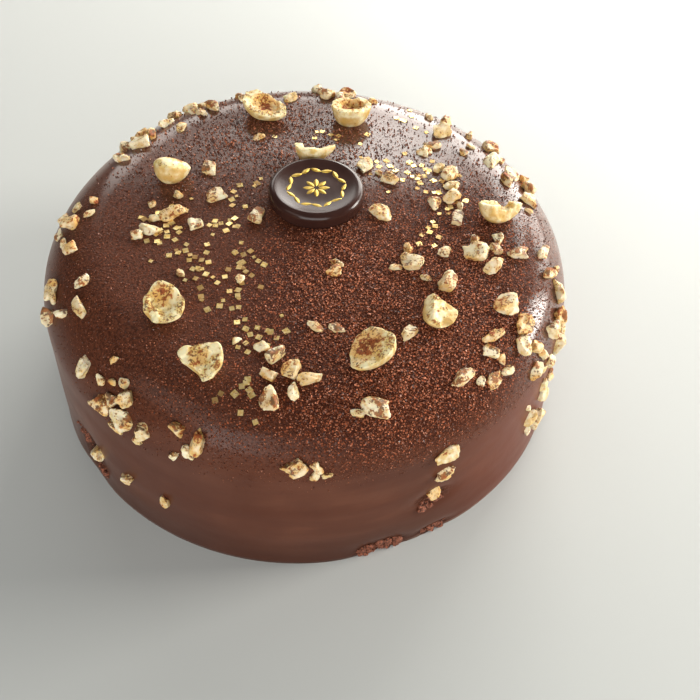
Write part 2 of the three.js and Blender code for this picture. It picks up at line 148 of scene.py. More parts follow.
# Hazelnut halves, each at its place right of and behind the middle of the top, sunk into the glaze, in
# degrees and millimetres. The cut face tips by lean towards the bearing lean_to, and the kernel's narrow
# end, slimmer by its taper, lies at the bearing point. The broken face bulges by its crown, or is cut flat
# and hollow by a share of the depth. A chip slices the kernel off beyond a share of its half length, on the
# side that many degrees from the narrow end, tipped up by its slant. A bite is a round notch of that size,
# with its middle told the same way. The roasted heart of the face lies along and across from its middle
# and spans its share of it, as brown as browning says, and specks is how thickly cocoa fell on it.
NUTS = [
    dict(name="back_left", right=-14.6, back=58.4, length=17.8, width=13.4, depth=6.4, sink=0.9, taper=0.2,
         point=325, lean=10, lean_to=310, crown=0, hollow=0.3, chips=[(90, 0.5, 0)], bites=[],
         heart=(0, 0, 0.62), browning=0.9, specks=0.5),
    dict(name="back_right", right=17.2, back=55.6, length=14.6, width=12.4, depth=9.2, sink=2.4, taper=0.05,
         point=5, lean=6, lean_to=85, crown=0, hollow=0.28, chips=[],
         bites=[(75, 0.9, 3.6), (262, 1, 3.2), (312, 1.04, 3)],
         heart=(0, 0, 0.7), browning=0.9, specks=0.35),
    dict(name="behind_disc", right=3.4, back=32, length=14.4, width=12, depth=6.6, sink=0.7, taper=0.3,
         point=352, lean=16, lean_to=92, crown=0, hollow=0.75, chips=[(90, 0.08, 0)], bites=[],
         heart=(0, 0, 0.5), browning=0.1, specks=0.15),
    dict(name="left_back", right=-46.1, back=23, length=12.4, width=11, depth=6.4, sink=1.2, taper=0.15,
         point=8, lean=33, lean_to=72, crown=2.6, hollow=0, chips=[(75, 0.35, 40)], bites=[],
         heart=(0.35, 0.15, 0.4), browning=1.1, specks=0.3),
    dict(name="left_front", right=-43.6, back=-40.8, length=13.9, width=12.4, depth=5, sink=0.9, taper=0.2,
         point=100, lean=20, lean_to=275, crown=0, hollow=0.2, chips=[(50, 0.82, 0)], bites=[(128, 1.25, 6)],
         heart=(0.3, 0, 0.45), browning=1.2, specks=0.5),
    dict(name="front_left", right=-31, back=-62, length=13.6, width=11.4, depth=5, sink=0.9, taper=0.42,
         point=162, lean=18, lean_to=265, crown=0, hollow=0.15, chips=[(293, 0.6, 0)], bites=[(70, 1.35, 12)],
         heart=(0, 0, 0.5), browning=0.62, specks=0.5),
    dict(name="front_right", right=17.8, back=-60.2, length=15.6, width=13, depth=6.4, sink=0.9, taper=0.3,
         point=228, lean=22, lean_to=180, crown=0, hollow=0.12, chips=[], bites=[],
         heart=(-0.05, -0.26, 0.7), browning=0.95, specks=0.5),
    dict(name="right_front", right=40, back=-44.4, length=12.4, width=12.6, depth=5, sink=1, taper=0.1,
         point=262, lean=6, lean_to=270, crown=2, hollow=0, bites=[(31, 0.92, 5)],
         chips=[(270, 0.78, 0), (270, 0.365, 45), (90, 0.056, 68), (153, 0.6, 10)],
         heart=(0, 0, 0.6), browning=0.25, specks=0.5),
    dict(name="right_back", right=65.5, back=1.6, length=15, width=12, depth=6.6, sink=1, taper=0.2,
         point=10, lean=30, lean_to=85, crown=0, hollow=0.4, chips=[(290, 0.38, 5)], bites=[(60, 0.55, 4.4)],
         heart=(0.15, 0.2, 0.5), browning=0.6, specks=0.4),
]
HOLLOW_SPAN = 0.64
NUT_STEP = 0.25 * MM
NUT_EDGE = 0.11 * MM
NUT_MARGIN = 1.6 * MM
NUT_SEED = 100
NUT_SEED_STEP = 10
CUT_ROUGHNESS = 0.34 * MM
CUT_SIZE = 2.6 * MM
CUT_FINE_SIZE = 1.1 * MM
SKIN_ROUGHNESS = 0.14 * MM
SKIN_SIZE = 3.4 * MM
RIM_ROUGHNESS = 0.34 * MM
RIM_SIZE = 1.5 * MM
RIM_BAND = 1.6 * MM
FACE_BAND = 0.8 * MM
SKIN_SPECKS = 0.35

# Chopped hazelnut, each piece with six slanted cuts, which leave that fill of its full size. Its height is
# a share of its width, and its middle stands above the glaze by a share of its size. Its length is drawn from
# short to long, and its width is a share of that, from slim to stout. Bites are as wide as their angle, in
# radians, and as deep as their share of the piece.
NIB_HEIGHT = 0.85
NIB_FILL = 0.94
NIB_RISE = 0.12
NIB_TILT = 25
NIB_EDGE = 22
NIB_CUT = 0.55
NIB_LIMIT = 1.2
NIB_SLANT = 1.1
NIB_CREASE = 28
NIB_FINE = 4 * MM
NIB_BITES = 3
BITE_WIDTHS = (0.35, 0.75)
BITE_DEPTHS = (0.15, 0.5)
NIB_ROUGHNESS = 0.1
NIB_ROUGH_SIZES = (0.8, 0.32)
NIB_TOAST = 0.32
NIB_BROWNING = 0.5
NIB_SPECKS = (0.2, 1.1)
NIB_SKIN = 0.7
NIB_SHORT = 3.2 * MM
NIB_LONG = 8.2 * MM
NIB_SKEW = 1.1
NIB_SLIM = 0.55
NIB_STOUT = 0.86
NIB_SEED = 20411

# Where the chopped nut fell, in bunches, in degrees and millimetres: bearing and reach of the middle of
# a bunch, its half spread along the ring and across it, and how many pieces lie there. The last three are
# on the hidden side.
NIB_BUNCHES = [
    (20, 79, 24, 8, 9), (43, 72, 18, 9, 6), (33, 57, 22, 7, 5), (40, 35, 8, 6, 3), (8, 52, 10, 9, 4),
    (79, 73, 24, 6, 6), (67, 50, 2, 2, 1), (112, 49, 3, 3, 1), (118, 75, 18, 10, 8), (141, 76, 20, 9, 9),
    (160, 50, 18, 9, 5), (178, 77, 14, 9, 8), (187, 55, 5, 4, 2), (187, 36, 2, 2, 1), (175, 15, 3, 3, 1),
    (4, 24, 2, 2, 1), (160, 33, 2, 2, 1), (203, 85, 12, 11, 5), (212, 45, 3, 3, 1), (234, 36, 2, 2, 1),
    (228, 91, 18, 12, 12), (229, 127, 22, 12, 3), (246, 95, 8, 11, 4), (245, 61, 6, 5, 1),
    (263, 68, 11, 11, 8), (271, 95, 9, 5, 4), (281, 78, 9, 2, 2), (282, 49, 9, 3, 2), (296, 116, 12, 18, 3),
    (298, 23, 8, 7, 2), (302, 60, 3, 3, 1), (316, 82, 17, 8, 10), (331, 95, 19, 8, 9), (328, 122, 14, 18, 7),
    (328, 46, 12, 14, 6), (329, 73, 2, 2, 1), (346, 63, 13, 10, 6), (347, 82, 6, 8, 4),
    (75, 116, 60, 18, 4), (140, 118, 50, 18, 4), (10, 118, 40, 16, 3),
]

# Gold flakes, thin squares in bunches told the same way. The solids hold the larger ones. Smaller ones,
# more by a share, lie in the same bunches spread wider, over one another in places.
FLAKE_THICK = 0.16 * MM
FLAKE_RISE = 0.17 * MM
FLAKE_TILT = 9
FLAKE_SEED = 7919
FLAKE_SIZES = (1.5 * MM, 2 * MM)
FLAKE_CLEAR = 0.4 * MM
FLAKE_BUNCHES = [
    (180, 48, 12, 9, 9), (193, 47, 10, 6, 4), (150, 30, 9, 7, 5), (190, 26, 8, 6, 5), (214, 39, 12, 9, 9),
    (229, 30, 10, 8, 6), (235, 45, 10, 7, 6), (252, 52, 12, 8, 6), (256, 74, 13, 9, 5), (43, 36, 10, 7, 5),
    (32, 46, 14, 9, 8), (16, 50, 14, 8, 6), (85, 46, 16, 6, 4), (54, 66, 10, 8, 4), (348, 44, 10, 8, 4),
]
SMALL_FLAKE_SIZES = (1.1 * MM, 1.9 * MM)
SMALL_FLAKE_CLEAR = -0.9 * MM
SMALL_FLAKE_SHARE = 1.3
SMALL_FLAKE_SPREAD = 1.4

# Pieces are tried at this many places. Nut and gold keep that far from the disc and the nut halves.
PLACE_TRIES = 40
KEEP_OFF = 2 * MM

# Crumbs of the sponge where the glaze broke away, in bunches told the same way
CRUMB_SMALL = 0.5 * MM
CRUMB_LARGE = 3 * MM
CRUMB_SKEW = 3
CRUMB_OVERLAP = 0.8 * MM
CRUMB_EDGE = 12
CRUMB_ROUGHNESS = 0.25
CRUMB_ROUGH_SIZE = 0.6
CRUMB_FINE_ROUGHNESS = 0.12
CRUMB_FINE_SIZE = 0.25
CRUMB_SEED = 5150
CRUMB_BUNCHES = [
    (284.5, 145.5, 8, 3, 70), (296, 128, 5, 2.5, 34), (297, 145, 6, 2, 26),
    (213, 130, 4, 6, 24), (219, 142, 4, 4, 24),
]

# Added to a seed for the finer of two ripples
FINE_SEED = 500

# Cocoa sifted over the top: light everywhere, and thick in patches told by their middle right of and
# behind the middle of the glaze rolled out flat, their half width, and how much they add or, below 0, take
# away. Thin cocoa is coarser at the back, by the first share, and finer at the front, by the second.
COCOA_LIGHT = 0.2
COCOA_PATCHES = [
    (8, -26, 24, 0.6), (42, -34, 34, 0.75), (30, -78, 36, 0.85), (62, 2, 26, 0.35), (-30, -70, 26, 0.2),
    (-6, 40, 32, 0.3), (44, 50, 34, -0.14),
]
COCOA_FRONT_REACH = 106 * MM
COCOA_BACK_REACH = 82 * MM
COCOA_TURN = 0.3
COCOA_FADE = 24 * MM
COCOA_GRAINS = 46000
COCOA_TRIES = 20 * COCOA_GRAINS
COCOA_SMALL = 0.32 * MM
COCOA_LARGE = 0.95 * MM
COCOA_COARSE = 0.35
COCOA_FINER = 0.3
COCOA_BACK = (-10 * MM, 40 * MM)
COCOA_STRETCH = (0.6, 1.2)
COCOA_RISE = 0.25
COCOA_SKEW = 1.5
COCOA_SEED = 331

# Repeatable draws, the same as in the solids
DRAW_STEP = 48271
DRAW_RANGE = 2147483647

# Camera, found from the outlines of the cake in a square photograph
PHOTO_SIDE = 700
FOCAL_PIXELS = 900
SENSOR_WIDTH = 36
CAMERA_PLACE = Vector((0, -226.7, 273.1)) * MM
CAMERA_AIM = Vector((14.3, -29.6, 34)) * MM
CAMERA_ROLL = 2.394

# Soft lights aimed at the middle of the top: bearing, elevation, distance, width, height, watts, colour
LIGHTS = {
    "back_panel": (66, 20, 1.0, 0.62, 0.62, 11.5, (1, 0.96, 0.9)),
    "back_left_panel": (104, 23, 1.0, 0.6, 0.36, 2.8, (1, 0.96, 0.9)),
    "right_panel": (40, 10, 0.9, 0.45, 0.3, 2.6, (1, 0.95, 0.88)),
    "key_softbox": (8, 14, 1.1, 0.4, 0.42, 15, (1, 0.95, 0.88)),
    "ceiling": (0, 88, 1.6, 2.4, 2.4, 2.5, (1, 0.97, 0.93)),
    "front_fill": (264, 18, 1.4, 1.6, 0.8, 18.5, (0.99, 0.97, 0.95)),
    "front_left_panel": (214, 36, 1.2, 0.8, 0.5, 1.6, (1, 0.95, 0.88)),
}
ROOM_LIGHT = 0.09
FLOOR_HALF = 3


def compass(bearing):
    """Shares of a bearing along +X and +Y."""
    return np.cos(np.radians(bearing)), np.sin(np.radians(bearing))


def mound(across, along, spread=1):
    """Smooth mound, 1 in its middle and falling off over its spread."""
    return np.exp(-(across ** 2 + along ** 2) / spread ** 2)


def outline_at(reach):
    """Radius, height and outward slope of the even outline at a reach."""
    reach = np.asarray(reach, float)
    on_top = reach <= FLAT_RADIUS
    on_shoulder = reach <= WALL_START
    crown_turn = np.pi * np.minimum(reach, FLAT_RADIUS) / FLAT_RADIUS
    turn = np.clip((reach - FLAT_RADIUS) / SHOULDER_ARC, 0, 1) * np.pi / 2
    down = np.clip((reach - WALL_START) / WALL_HEIGHT, 0, 1)
    radius = np.where(on_shoulder, FLAT_RADIUS + SHOULDER_WIDTH * np.sin(turn),
                      WALL_RADIUS + (FOOT_RADIUS - WALL_RADIUS) * down)
    height = np.where(on_shoulder, WALL_HEIGHT + SHOULDER_HEIGHT * np.cos(turn), WALL_HEIGHT * (1 - down))
    radius = np.where(on_top, reach, radius)
    height = np.where(on_top, TOP_HEIGHT + CROWN * (1 + np.cos(crown_turn)) / 2, height)
    crown_slope = np.arctan(CROWN * np.pi * np.sin(crown_turn) / (2 * FLAT_RADIUS))
    return radius, height, np.where(on_top, crown_slope, turn)


def broken_away(bearing, reach, places):
    """How near each spot is to the middle of the broken places, from 0 to 1, one row for each place."""
    radius, height, _ = outline_at(reach)
    rows = []
    for middle, middle_height, half_width, half_height, _ in places:
        apart = (bearing - middle + 540) % 360 - 180
        across = np.radians(apart) * radius / (half_width * MM)
        up = (height - middle_height * MM) / (half_height * MM)
        rows.append(np.where(reach > WALL_START, mound(across, up), 0))
    return np.array(rows)


def unevenness(bearing, reach):
    """How far the glaze stands out from the even outline: slow waves, and hollows where it broke away."""
    swell = sum(height * np.sin(turns * np.radians(bearing) + start) for height, turns, start in WAVES)
    depths = np.array([place[-1] * MM for place in BROKEN_PLACES])
    hollows = np.tensordot(depths, broken_away(bearing, reach, BROKEN_PLACES), axes=1)
    return swell * np.minimum(reach / WALL_START, 1) ** 2 - hollows


def glaze_at(bearing, reach, lift=0):
    """Point on the glaze and the direction straight out of it."""
    bearing = np.asarray(bearing, float)
    radius, height, slope = outline_at(reach)
    east, north = compass(bearing)
    normal = np.stack([east * np.sin(slope), north * np.sin(slope), np.cos(slope)], axis=-1)
    point = np.stack([east * radius, north * radius, height], axis=-1)
    return point + normal * np.expand_dims(unevenness(bearing, reach) + lift, -1), normal


def top_at(right, back):
    """Place on the top, that far right of and behind its middle."""
    return glaze_at(math.degrees(math.atan2(back, right)) % 360, math.hypot(right, back))


def draws(seed):
    """Repeatable draws between 0 and 1, the same as in the solids."""
    state = seed
    while True:
        state = state * DRAW_STEP % DRAW_RANGE
        yield state / DRAW_RANGE


def ripple(spots, size, seed):
    """Smooth random heights from -1 to 1, with about that size from one bump to the next."""
    scaled = spots / size
    cell = np.floor(scaled).astype(np.int64)
    ease = scaled - cell
    ease = ease * ease * (3 - 2 * ease)
    total = np.zeros(len(spots))
    for corner in itertools.product((0, 1), repeat=3):
        key = (cell + corner) @ np.array((73856093, 19349663, 83492791)) + seed * 40503
        key = (key ^ (key >> 15)) * 2246822519
        key = (key ^ (key >> 13)) * 3266489917
        height = ((key >> 8) & 0xFFFF) / 0x7FFF - 1
        total += height * np.prod(np.where(corner, ease, 1 - ease), axis=1)
    return total


def rippled(spots, size, fine_size, fine_share, seed):
    """Ripple with a finer one on it, which has a share of its height."""
    return ripple(spots, size, seed) + fine_share * ripple(spots, fine_size, seed + 1)


def stand_on(normal, spin, tilt):
    """Turn of a piece that stands on the glaze, spun about the way out and then tipped, in degrees."""
    stand = UP.rotation_difference(Vector(normal))
    stand = stand @ Quaternion(UP, math.radians(spin)) @ Quaternion((1, 0, 0), math.radians(tilt))
    return np.array(stand.to_matrix())


def ball(subdivisions):
    """Directions and triangles of an even ball."""
    mesh = bmesh.new()
    bmesh.ops.create_icosphere(mesh, subdivisions=subdivisions, radius=1)
    points = np.array([vert.co[:] for vert in mesh.verts])
    faces = np.array([[vert.index for vert in face.verts] for face in mesh.faces])
    mesh.free()
    return points / np.linalg.norm(points, axis=1)[:, None], faces


def chopped_lump(draw, directions, edge):
    """Lump of about unit radius, shaped by six slanted cuts that meet in softened edges."""
    reach = np.full(len(directions), NIB_LIMIT ** -edge)
    for sign, axis in itertools.product((1, -1), range(3)):
        normal = np.zeros(3)
        normal[axis] = sign
        normal += NIB_SLANT * (np.array((next(draw), next(draw), next(draw))) - 0.5)
        normal /= np.linalg.norm(normal)
        depth = NIB_CUT + (1 - NIB_CUT) * next(draw)
        reach += np.maximum(0, directions @ normal / depth) ** edge
    return directions * (reach ** (-1 / edge))[:, None]


def bitten(lump, directions, chance):
    """Lump with a few shallow bites where bits broke out."""
    for _ in range(NIB_BITES):
        middle = chance.normal(size=3)
        middle /= np.linalg.norm(middle)
        width = chance.uniform(*BITE_WIDTHS)
        depth = chance.uniform(*BITE_DEPTHS)
        apart = np.arccos(np.clip(directions @ middle, -1, 1))
        lump = lump * (1 - depth * np.exp(-(apart / width) ** 4))[:, None]
    return lump


def joined(parts):
    """One mesh's points and faces from those of many pieces, and which piece each point came from."""
    points, faces, owner = [], [], []
    start = 0
    for number, (piece_points, piece_faces) in enumerate(parts):
        points.append(piece_points)
        faces.append(np.asarray(piece_faces) + start)
        owner.append(np.full(len(piece_points), number))
        start += len(piece_points)
    return np.concatenate(points), np.concatenate(faces), np.concatenate(owner)


def put(name, data):
    """Object in the scene that shows a mesh, a light or a camera."""
    thing = bpy.data.objects.new(name, data)
    bpy.context.scene.collection.objects.link(thing)
    return thing


def make_piece(name, points, faces, finish, layers=None, smooth=True):
    """Mesh object of the cake, with values for its finish laid over its points."""
    mesh = bpy.data.meshes.new(name)
    mesh.from_pydata([tuple(point) for point in points], [], [tuple(face) for face in faces])
    for layer, values in (layers or {}).items():
        attribute = mesh.attributes.new(layer, "FLOAT", "POINT")
        attribute.data.foreach_set("value", np.asarray(values, np.float32))
    if smooth:
        mesh.shade_smooth()
    mesh.materials.append(finish)
    piece = put(name, mesh)
    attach(piece, "root")
    return piece


class Wire:
    """A value that runs through a finish. Sums on it add Math nodes."""

    def __init__(self, finish, outputs, key):
        self.finish = finish
        self.outputs = outputs
        self.socket = outputs[key]

    def also(self, key):
        """Another output of the same node."""
        return Wire(self.finish, self.outputs, key)

    def math(self, operation, first, second):
        return self.finish.node("ShaderNodeMath", {"operation": operation}, {0: first, 1: second})

    def __add__(self, other):
        return self.math("ADD", self, other)

    def __sub__(self, other):
        return self.math("SUBTRACT", self, other)

    def __rsub__(self, other):
        return self.math("SUBTRACT", other, self)

    def __mul__(self, other):
        return self.math("MULTIPLY", self, other)

    def __pow__(self, other):
        return self.math("POWER", self, other)

    __radd__ = __add__
    __rmul__ = __mul__


class Finish:
    """A procedural material, put together node by node."""

    def __init__(self, name):
        self.material = bpy.data.materials.new(name)
        self.material.use_nodes = True
        self.tree = self.material.node_tree
        self.shader = self.tree.nodes["Principled BSDF"]

    def fill(self, inputs, sockets):
        for key, value in sockets.items():
            if isinstance(value, Wire):
                self.tree.links.new(value.socket, inputs[key])
            else:
                inputs[key].default_value = value

    def node(self, kind, settings, sockets, output=0):
        made = self.tree.nodes.new(kind)
        for key, value in settings.items():
            setattr(made, key, value)
        self.fill(made.inputs, sockets)
        return Wire(self, made.outputs, output)

    def place(self):
        return self.node("ShaderNodeTexCoord", {}, {}, "Object")

    def layer(self, name):
        return self.node("ShaderNodeAttribute", {"attribute_name": name}, {}, "Fac")

    def clouds(self, place, size, detail=3):
        return self.node("ShaderNodeTexNoise", {}, {"Vector": place, "Scale": 1 / size, "Detail": detail})

    def grains(self, place, size):
        """Distance from the middle of the nearest grain, and two random shares for each grain."""
        near = self.node("ShaderNodeTexVoronoi", {}, {"Vector": place, "Scale": 1 / size}, "Distance")
        shares = self.node("ShaderNodeSeparateColor", {}, {"Color": near.also("Color")})
        return near, shares, shares.also(1)

    def step(self, value, low, high):
        """Smooth rise from 0 to 1 as a value goes from low to high."""
        settings = {"interpolation_type": "SMOOTHSTEP"}
        return self.node("ShaderNodeMapRange", settings, {0: value, 1: low, 2: high})

    def blend(self, share, under, over):
        return self.node("ShaderNodeMix", {"data_type": "RGBA"}, {0: share, 6: under, 7: over}, 2)

    def shaded(self, value, low, high, under, over):
        """Colour that goes from one to another as a value goes from low to high."""
        return self.blend(self.step(value, low, high), under, over)

    def relief(self, height):
        """Surface direction of a height in metres."""
        return self.node("ShaderNodeBump", {}, {"Height": height, "Distance": 1.0})

    def done(self, **sockets):
        self.fill(self.shader.inputs, {key.replace("_", " "): value for key, value in sockets.items()})
        return self.material


def colour(red, green, blue):
    """Linear colour from the 0 to 255 shades of a picture."""
    shades = [(share / 255 + 0.055) / 1.055 for share in (red, green, blue)]
    return (*[shade ** 2.4 for shade in shades], 1)


def glaze_finish():
    """Milk chocolate glaze, satin and slowly changing, under sifted cocoa, and bare sponge where it broke."""
    finish = Finish("milk_chocolate_glaze")
    place = finish.place()
    dust = finish.layer("cocoa")
    bare = finish.layer("bare")
    film = finish.layer("film")
    drift = finish.clouds(place, 26 * MM)
    mottle = finish.clouds(place, 0.8 * MM, 3)
    near, chance, shade = finish.grains(place, 0.8 * MM)
    fine_near, fine_chance, fine_shade = finish.grains(place, 0.45 * MM)
    grain = (1 - finish.step(near, 0.3, 0.5)) * finish.step(dust - chance, 0, 0.08)
    fine_grain = (1 - finish.step(fine_near, 0.3, 0.55)) * finish.step(dust * 1.1 - fine_chance, 0, 0.08)
    cocoa = finish.blend(shade ** 1.5 * finish.step(dust, 0, 0.6), colour(84, 40, 23), colour(204, 116, 80))
    fine_cocoa = finish.blend(fine_shade, colour(62, 27, 15), colour(134, 72, 45))
    tone = finish.shaded(drift, 0.35, 0.65, colour(86, 48, 33), colour(99, 58, 41))
    stretch = (1, 1, STROKE_STRETCH)
    level = finish.node("ShaderNodeVectorMath", {"operation": "MULTIPLY"}, {0: place, 1: stretch})
    stroke = finish.step(finish.clouds(level, 34 * MM, 4), 0.38, 0.62)
    tone = finish.blend(stroke * 0.5, tone, colour(76, 40, 27))
    # Painted shade: the glaze is darker towards the foot of the wall.
    tone = finish.blend(finish.layer("foot") * 0.8, tone, colour(62, 34, 24))
    # Painted light: the right of the wall is tinted a warmer, deeper brown to stand in for the warm light
    # that falls there.
    tone = finish.blend(finish.layer("painted_warm_light") * 0.8, tone, colour(94, 40, 21))
    powder = finish.shaded(mottle, 0.36, 0.64, colour(63, 33, 21), colour(104, 58, 39))
    tone = finish.blend(film * 0.85, tone, powder)
    # Painted shade: the glaze darkens where the cocoa lies thick, standing in for shade between the grains.
    tone = finish.blend(finish.step(dust, 0.25, 0.8) * 0.85, tone, colour(60, 26, 14))
    tone = finish.blend(fine_grain, tone, fine_cocoa)
    tone = finish.blend(grain, tone, cocoa)
    crumb = finish.clouds(place, 1.4 * MM, 6)
    sponge = finish.shaded(crumb, 0.35, 0.7, colour(38, 18, 11), colour(88, 48, 31))
    tone = finish.blend(bare, tone, sponge)
    rough = finish.clouds(place, 7 * MM) * 0.14 + 0.26
    rough = rough + (grain + fine_grain) * 0.24 + bare * 0.35 + film * 0.12
    height = grain * (0.32 * MM) + fine_grain * (0.14 * MM) + bare * crumb * (1.2 * MM)
    height = height + finish.clouds(place, 4 * MM, 5) * (0.05 * MM) + film * mottle * (0.3 * MM)
    clear = (1 - grain) * (1 - fine_grain) * (1 - finish.step(dust, 0.6, 0.95) * 0.9)
    gloss = finish.layer("gloss") * (1 - bare) * clear
    return finish.done(Base_Color=tone, Roughness=rough, Normal=finish.relief(height),
                       Specular_IOR_Level=0.08, Coat_Weight=gloss, Coat_Roughness=0.18,
                       Sheen_Weight=0.1, Sheen_Roughness=0.35, Sheen_Tint=colour(255, 205, 180))


def hazelnut_finish(name, pale, golden):
    """Pale toasted nut, browner where it was roasted most, with specks of cocoa."""
    finish = Finish(name)
    place = finish.place()
    toast = finish.layer("toast")
    specks = finish.layer("specks")
    skin = finish.layer("skin")
    drift = finish.clouds(place, 3.2 * MM, 4)
    patch = finish.clouds(place, 1.5 * MM, 5)
    fine = finish.clouds(place, 0.62 * MM, 3)
    outward = finish.node("ShaderNodeNewGeometry", {}, {}, "Normal")
    facing = finish.node("ShaderNodeSeparateXYZ", {}, {0: outward}, 2)
    settled = finish.step(facing, 0.1, 0.9) * finish.step(drift, 0.36, 0.62)
    speck = finish.step(fine * 0.8 + patch * 0.2 + specks * settled * 0.36, 0.63, 0.72)
    tone = finish.shaded(drift * 0.6 + patch * 0.4, 0.41, 0.61, pale, golden)
    tone = finish.blend(skin * finish.step(drift, 0.25, 0.6) * 0.7, tone, colour(198, 156, 86))
    halo = finish.step(toast * 1.2 + patch * 0.5, 0.36, 0.8)
    roast = finish.step(toast + (patch - 0.5) * 2.4 + (fine - 0.5) * 1.2, 0.42, 0.8)
    tone = finish.blend(halo * 0.8, tone, colour(222, 172, 90))
    browned = finish.shaded(fine, 0.35, 0.65, colour(104, 48, 22), colour(176, 96, 42))
    tone = finish.blend(roast, tone, browned)
    cocoa = finish.shaded(patch, 0.4, 0.6, colour(84, 40, 20), colour(150, 82, 42))
    tone = finish.blend(speck * 0.85, tone, cocoa)
    height = patch * (0.16 * MM) + fine * (0.07 * MM) + speck * (0.06 * MM)
    return finish.done(Base_Color=tone, Roughness=0.5 + roast * 0.2, Normal=finish.relief(height),
                       Specular_IOR_Level=0.3, Subsurface_Weight=0.18,
                       Subsurface_Radius=(1.0, 0.55, 0.25), Subsurface_Scale=1.6 * MM)


def dark_chocolate_finish():
    """Moulded dark chocolate, polished, with faint clouding."""
    finish = Finish("dark_chocolate")
    place = finish.place()
    drift = finish.clouds(place, 9 * MM, 2)
    tone = finish.shaded(drift, 0.3, 0.7, colour(50, 29, 24), colour(58, 35, 29))
    return finish.done(Base_Color=tone, Roughness=drift * 0.1 + 0.16,
                       Normal=finish.relief(drift * (0.03 * MM)), Specular_IOR_Level=0.3)


def gold_finish(name, pale, bright, metal):
    """Gold leaf or gold paint, creased; the dull pieces are rougher, with painted shade that turns them a
    darker bronze.
    """
    finish = Finish(name)
    place = finish.place()
    dull_and_shaded = finish.layer("dull_and_shaded")
    crease = finish.clouds(place, 0.9 * MM, 4)
    tone = finish.shaded(crease, 0.3, 0.7, pale, bright)
    # Painted shade: dull pieces turn a darker bronze, standing in for flakes that mirror the dark room.
    tone = finish.blend(dull_and_shaded, tone, colour(136, 92, 46))
    return finish.done(Base_Color=tone, Metallic=metal, Roughness=dull_and_shaded * 0.25 + 0.32,
                       Normal=finish.relief(crease * (0.1 * MM)))


def cocoa_finish():
    """Dry cocoa, each grain in its own shade."""
    finish = Finish("cocoa_powder")
    shade = finish.layer("shade")
    speck = finish.clouds(finish.place(), 0.2 * MM, 2)
    tone = finish.shaded(shade + speck * 0.3, 0.1, 1.2, colour(70, 30, 16), colour(222, 140, 100))
    return finish.done(Base_Color=tone, Roughness=0.4 + shade * 0.1, Specular_IOR_Level=0.5)


def crumb_finish():
    """Dark sponge, open and rough."""
    finish = Finish("sponge_crumb")
    place = finish.place()
    pores = finish.clouds(place, 0.6 * MM, 6)
    tone = finish.shaded(pores, 0.3, 0.7, colour(54, 26, 16), colour(156, 92, 66))
    return finish.done(Base_Color=tone, Roughness=0.75 + pores * 0.2,
                       Normal=finish.relief(pores * (0.3 * MM)))


def cocoa_cover(bearing, reach):
    """How thickly the cocoa lies at a place, from 0 to 1."""
    east, north = compass(bearing)
    cover = np.full(np.shape(reach), COCOA_LIGHT)
    for right, back, half, more in COCOA_PATCHES:
        cover += more * mound(reach * east / MM - right, reach * north / MM - back, half)
    front = np.clip(COCOA_TURN - north, 0, 1)
    last = COCOA_BACK_REACH + (COCOA_FRONT_REACH - COCOA_BACK_REACH) * front
    fade = np.clip((last - reach) / COCOA_FADE, 0, 1)
    return np.minimum(cover, 1) * fade


def eased(value, none, full):
    """Smooth rise from 0 to 1 as a value goes from none to full."""
    share = np.clip((value - none) / (full - none), 0, 1)
    return share * share * (3 - 2 * share)


def film_cover(bearing, reach):
    """How much a film of fine cocoa dulls the glaze at a place, from 0 to 1."""
    east, north = compass(bearing)
    last = FILM_REACH + FILM_SWING * east
    return eased(reach * north, *FILM_FADES) * eased(reach, last, last - FILM_EDGE)


def glaze_gloss(spots, reach, film):
    """Gloss of the glaze at each spot, as a share of the gloss of the bare top."""
    gloss = WALL_GLOSS * (1 - eased(spots[:, 0], *WALL_DULLS))
    gloss += (1 - gloss) * np.clip((WALL_START - reach) / SHOULDER_ARC, 0, 1) ** SHOULDER_FALL
    gloss *= 1 - FILM_DULLS * film
    right = eased(spots[:, 0], *RIGHT_SHINES) * eased(reach, *RIGHT_REACH)
    front = mound(spots[:, 0] - FRONT_RIGHT, spots[:, 1] - FRONT_BACK, FRONT_SPREAD)
    back = eased(spots[:, 1], *BACK_SHINES) * eased(reach, *BACK_REACH)
    return np.maximum.reduce([gloss, RIGHT_GLOSS * right, FRONT_GLOSS * front, BACK_GLOSS * back])


def ring_faces(rings, segments):
    """Faces of a closed skin of rings, going down, and two end points that follow them."""
    top = rings * segments
    last = top - segments
    faces = []
    for step in range(segments):
        after = (step + 1) % segments
        faces.append((top, step, after))
        faces.append((top + 1, last + after, last + step))
        for here in range(0, last, segments):
            below = here + segments
            faces.append((here + step, below + step, below + after, here + after))
    return faces


